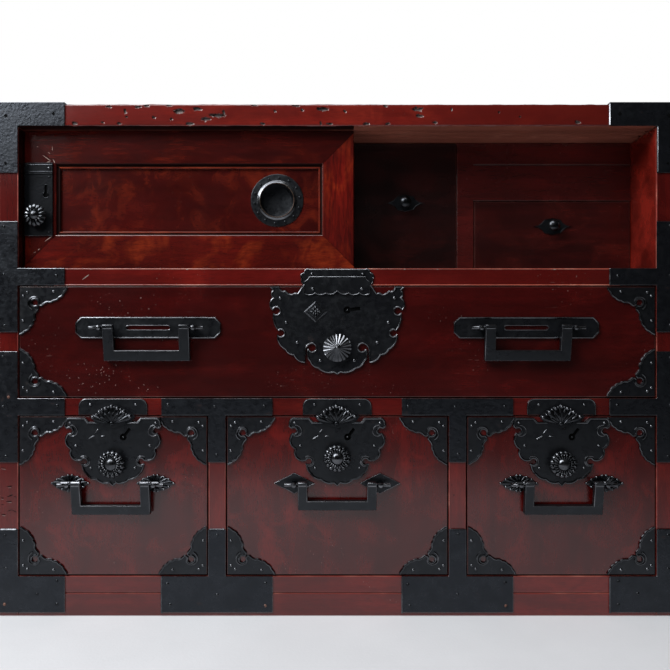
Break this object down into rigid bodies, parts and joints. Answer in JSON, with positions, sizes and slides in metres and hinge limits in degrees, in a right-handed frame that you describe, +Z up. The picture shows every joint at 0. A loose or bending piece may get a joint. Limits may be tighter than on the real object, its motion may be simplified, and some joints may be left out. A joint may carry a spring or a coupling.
{
  "type": "iron-bound chest of drawers",
  "caption": "Low lacquered wood chest bound with black iron, with sliding doors, inner drawers, locking drawers with push-button bolts and swinging iron handles.",
  "frame": {"origin": "on the floor, under the middle of the chest with its fittings", "axes": "+X to the right seen from the front, +Y from the front to the back, +Z up"},
  "size_m": [0.8836, 0.4466, 0.6678],
  "materials": {
    "red_lacquer": "red lacquer",
    "figured_lacquer": "clear red lacquer over figured wood",
    "raw_wood": "bare wood",
    "black_iron": "blackened forged sheet iron",
    "bolt_iron": "worn bright iron"
  },
  "bodies": {
    "case": {"top_board": "red_lacquer", "left_side_board": "red_lacquer", "right_side_board": "red_lacquer", "back_panel": "raw_wood", "bottom_board": "red_lacquer", "base_rail": "red_lacquer", "door_sill_shelf": "red_lacquer", "middle_shelf": "red_lacquer", "left_partition": "red_lacquer", "right_partition": "red_lacquer", "inner_carcass": "red_lacquer", "iron_top_left": "black_iron", "iron_top_right": "black_iron", "iron_sill_left": "black_iron", "iron_sill_right": "black_iron", "iron_rail_left": "black_iron", "iron_rail_right": "black_iron", "iron_base_left": "black_iron", "iron_base_right": "black_iron", "iron_post_top_left": "black_iron", "iron_post_top_right": "black_iron", "iron_post_foot_left": "black_iron", "iron_post_foot_right": "black_iron"},
    "front_door": {"front_door_frame": "figured_lacquer", "front_door_panel": "figured_lacquer", "front_door_lock_plate": "black_iron", "front_door_cup_pull": "black_iron"},
    "rear_door": {"rear_door_frame": "figured_lacquer", "rear_door_panel": "figured_lacquer"},
    "large_drawer": {"large_drawer_front": "red_lacquer", "large_drawer_tray": "raw_wood", "large_drawer_lock_plate": "black_iron", "large_drawer_handle_plate_left": "black_iron", "large_drawer_handle_plate_right": "black_iron"},
    "inner_tall_drawer": {"inner_tall_drawer": "red_lacquer"},
    "inner_low_drawer": {"inner_low_drawer": "red_lacquer"},
    "large_drawer_bail_left": {"large_drawer_bail_left": "black_iron"},
    "large_drawer_bail_right": {"large_drawer_bail_right": "black_iron"},
    "left_drawer": {"left_drawer_front": "red_lacquer", "left_drawer_tray": "raw_wood", "left_drawer_lock_plate": "black_iron"},
    "left_drawer_bail": {"left_drawer_bail": "black_iron"},
    "middle_drawer": {"middle_drawer_front": "red_lacquer", "middle_drawer_tray": "raw_wood", "middle_drawer_lock_plate": "black_iron"},
    "middle_drawer_bail": {"middle_drawer_bail": "black_iron"},
    "right_drawer": {"right_drawer_front": "red_lacquer", "right_drawer_tray": "raw_wood", "right_drawer_lock_plate": "black_iron"},
    "right_drawer_bail": {"right_drawer_bail": "black_iron"},
    "front_door_lock_button": {"front_door_lock_button": "black_iron"},
    "front_door_lock_bolt": {"front_door_lock_bolt": "bolt_iron"},
    "large_drawer_lock_button": {"large_drawer_lock_button": "black_iron"},
    "large_drawer_lock_bolt": {"large_drawer_lock_bolt": "bolt_iron"},
    "left_drawer_lock_button": {"left_drawer_lock_button": "black_iron"},
    "left_drawer_lock_bolt": {"left_drawer_lock_bolt": "bolt_iron"},
    "middle_drawer_lock_button": {"middle_drawer_lock_button": "black_iron"},
    "middle_drawer_lock_bolt": {"middle_drawer_lock_bolt": "bolt_iron"},
    "right_drawer_lock_button": {"right_drawer_lock_button": "black_iron"},
    "right_drawer_lock_bolt": {"right_drawer_lock_bolt": "bolt_iron"}
  },
  "joints": [
    {"name": "front_door_slide", "type": "slide", "parent": "case", "child": "front_door", "axis": [-1, 0, 0], "range_m": [-0.392, 0]},
    {"name": "rear_door_slide", "type": "slide", "parent": "case", "child": "rear_door", "axis": [-1, 0, 0], "range_m": [-0.392, 0]},
    {"name": "large_drawer_slide", "type": "slide", "parent": "case", "child": "large_drawer", "axis": [0, -1, 0], "range_m": [0, 0.3]},
    {"name": "left_drawer_slide", "type": "slide", "parent": "case", "child": "left_drawer", "axis": [0, -1, 0], "range_m": [0, 0.3]},
    {"name": "middle_drawer_slide", "type": "slide", "parent": "case", "child": "middle_drawer", "axis": [0, -1, 0], "range_m": [0, 0.3]},
    {"name": "right_drawer_slide", "type": "slide", "parent": "case", "child": "right_drawer", "axis": [0, -1, 0], "range_m": [0, 0.3]},
    {"name": "inner_tall_drawer_slide", "type": "slide", "parent": "case", "child": "inner_tall_drawer", "axis": [0, -1, 0], "range_m": [0, 0.25]},
    {"name": "inner_low_drawer_slide", "type": "slide", "parent": "case", "child": "inner_low_drawer", "axis": [0, -1, 0], "range_m": [0, 0.25]},
    {"name": "large_drawer_bail_left_swing", "type": "hinge", "parent": "large_drawer", "child": "large_drawer_bail_left", "pos_m": [-0.24551, -0.21875, 0.3748], "axis": [-1, 0, 0], "range_deg": [0, 95]},
    {"name": "large_drawer_bail_right_swing", "type": "hinge", "parent": "large_drawer", "child": "large_drawer_bail_right", "pos_m": [0.24551, -0.21875, 0.3748], "axis": [-1, 0, 0], "range_deg": [0, 95]},
    {"name": "left_drawer_bail_swing", "type": "hinge", "parent": "left_drawer", "child": "left_drawer_bail", "pos_m": [-0.29125, -0.21875, 0.1728], "axis": [-1, 0, 0], "range_deg": [0, 95]},
    {"name": "middle_drawer_bail_swing", "type": "hinge", "parent": "middle_drawer", "child": "middle_drawer_bail", "pos_m": [0, -0.21875, 0.1728], "axis": [-1, 0, 0], "range_deg": [0, 95]},
    {"name": "right_drawer_bail_swing", "type": "hinge", "parent": "right_drawer", "child": "right_drawer_bail", "pos_m": [0.29125, -0.21875, 0.1728], "axis": [-1, 0, 0], "range_deg": [0, 95]},
    {"name": "front_door_lock_button_slide", "type": "slide", "parent": "front_door", "child": "front_door_lock_button", "axis": [0, 1, 0], "range_m": [0, 0.005], "stiffness_N_per_m": 60},
    {"name": "front_door_lock_bolt_slide", "type": "slide", "parent": "front_door", "child": "front_door_lock_bolt", "axis": [-1, 0, 0], "range_m": [0, 0.005]},
    {"name": "large_drawer_lock_button_slide", "type": "slide", "parent": "large_drawer", "child": "large_drawer_lock_button", "axis": [0, 1, 0], "range_m": [0, 0.005]},
    {"name": "large_drawer_lock_bolt_slide", "type": "slide", "parent": "large_drawer", "child": "large_drawer_lock_bolt", "axis": [0, 0, 1], "range_m": [0, 0.005]},
    {"name": "left_drawer_lock_button_slide", "type": "slide", "parent": "left_drawer", "child": "left_drawer_lock_button", "axis": [0, 1, 0], "range_m": [0, 0.005]},
    {"name": "left_drawer_lock_bolt_slide", "type": "slide", "parent": "left_drawer", "child": "left_drawer_lock_bolt", "axis": [0, 0, 1], "range_m": [0, 0.005]},
    {"name": "middle_drawer_lock_button_slide", "type": "slide", "parent": "middle_drawer", "child": "middle_drawer_lock_button", "axis": [0, 1, 0], "range_m": [0, 0.005]},
    {"name": "middle_drawer_lock_bolt_slide", "type": "slide", "parent": "middle_drawer", "child": "middle_drawer_lock_bolt", "axis": [0, 0, 1], "range_m": [0, 0.005]},
    {"name": "right_drawer_lock_button_slide", "type": "slide", "parent": "right_drawer", "child": "right_drawer_lock_button", "axis": [0, 1, 0], "range_m": [0, 0.005]},
    {"name": "right_drawer_lock_bolt_slide", "type": "slide", "parent": "right_drawer", "child": "right_drawer_lock_bolt", "axis": [0, 0, 1], "range_m": [0, 0.005]}
  ],
  "couplings": [
    {"joint": "front_door_lock_bolt_slide", "follows": "front_door_lock_button_slide", "ratio": 1},
    {"joint": "large_drawer_lock_bolt_slide", "follows": "large_drawer_lock_button_slide", "ratio": 1},
    {"joint": "left_drawer_lock_bolt_slide", "follows": "left_drawer_lock_button_slide", "ratio": 1},
    {"joint": "middle_drawer_lock_bolt_slide", "follows": "middle_drawer_lock_button_slide", "ratio": 1},
    {"joint": "right_drawer_lock_bolt_slide", "follows": "right_drawer_lock_button_slide", "ratio": 1}
  ]
}
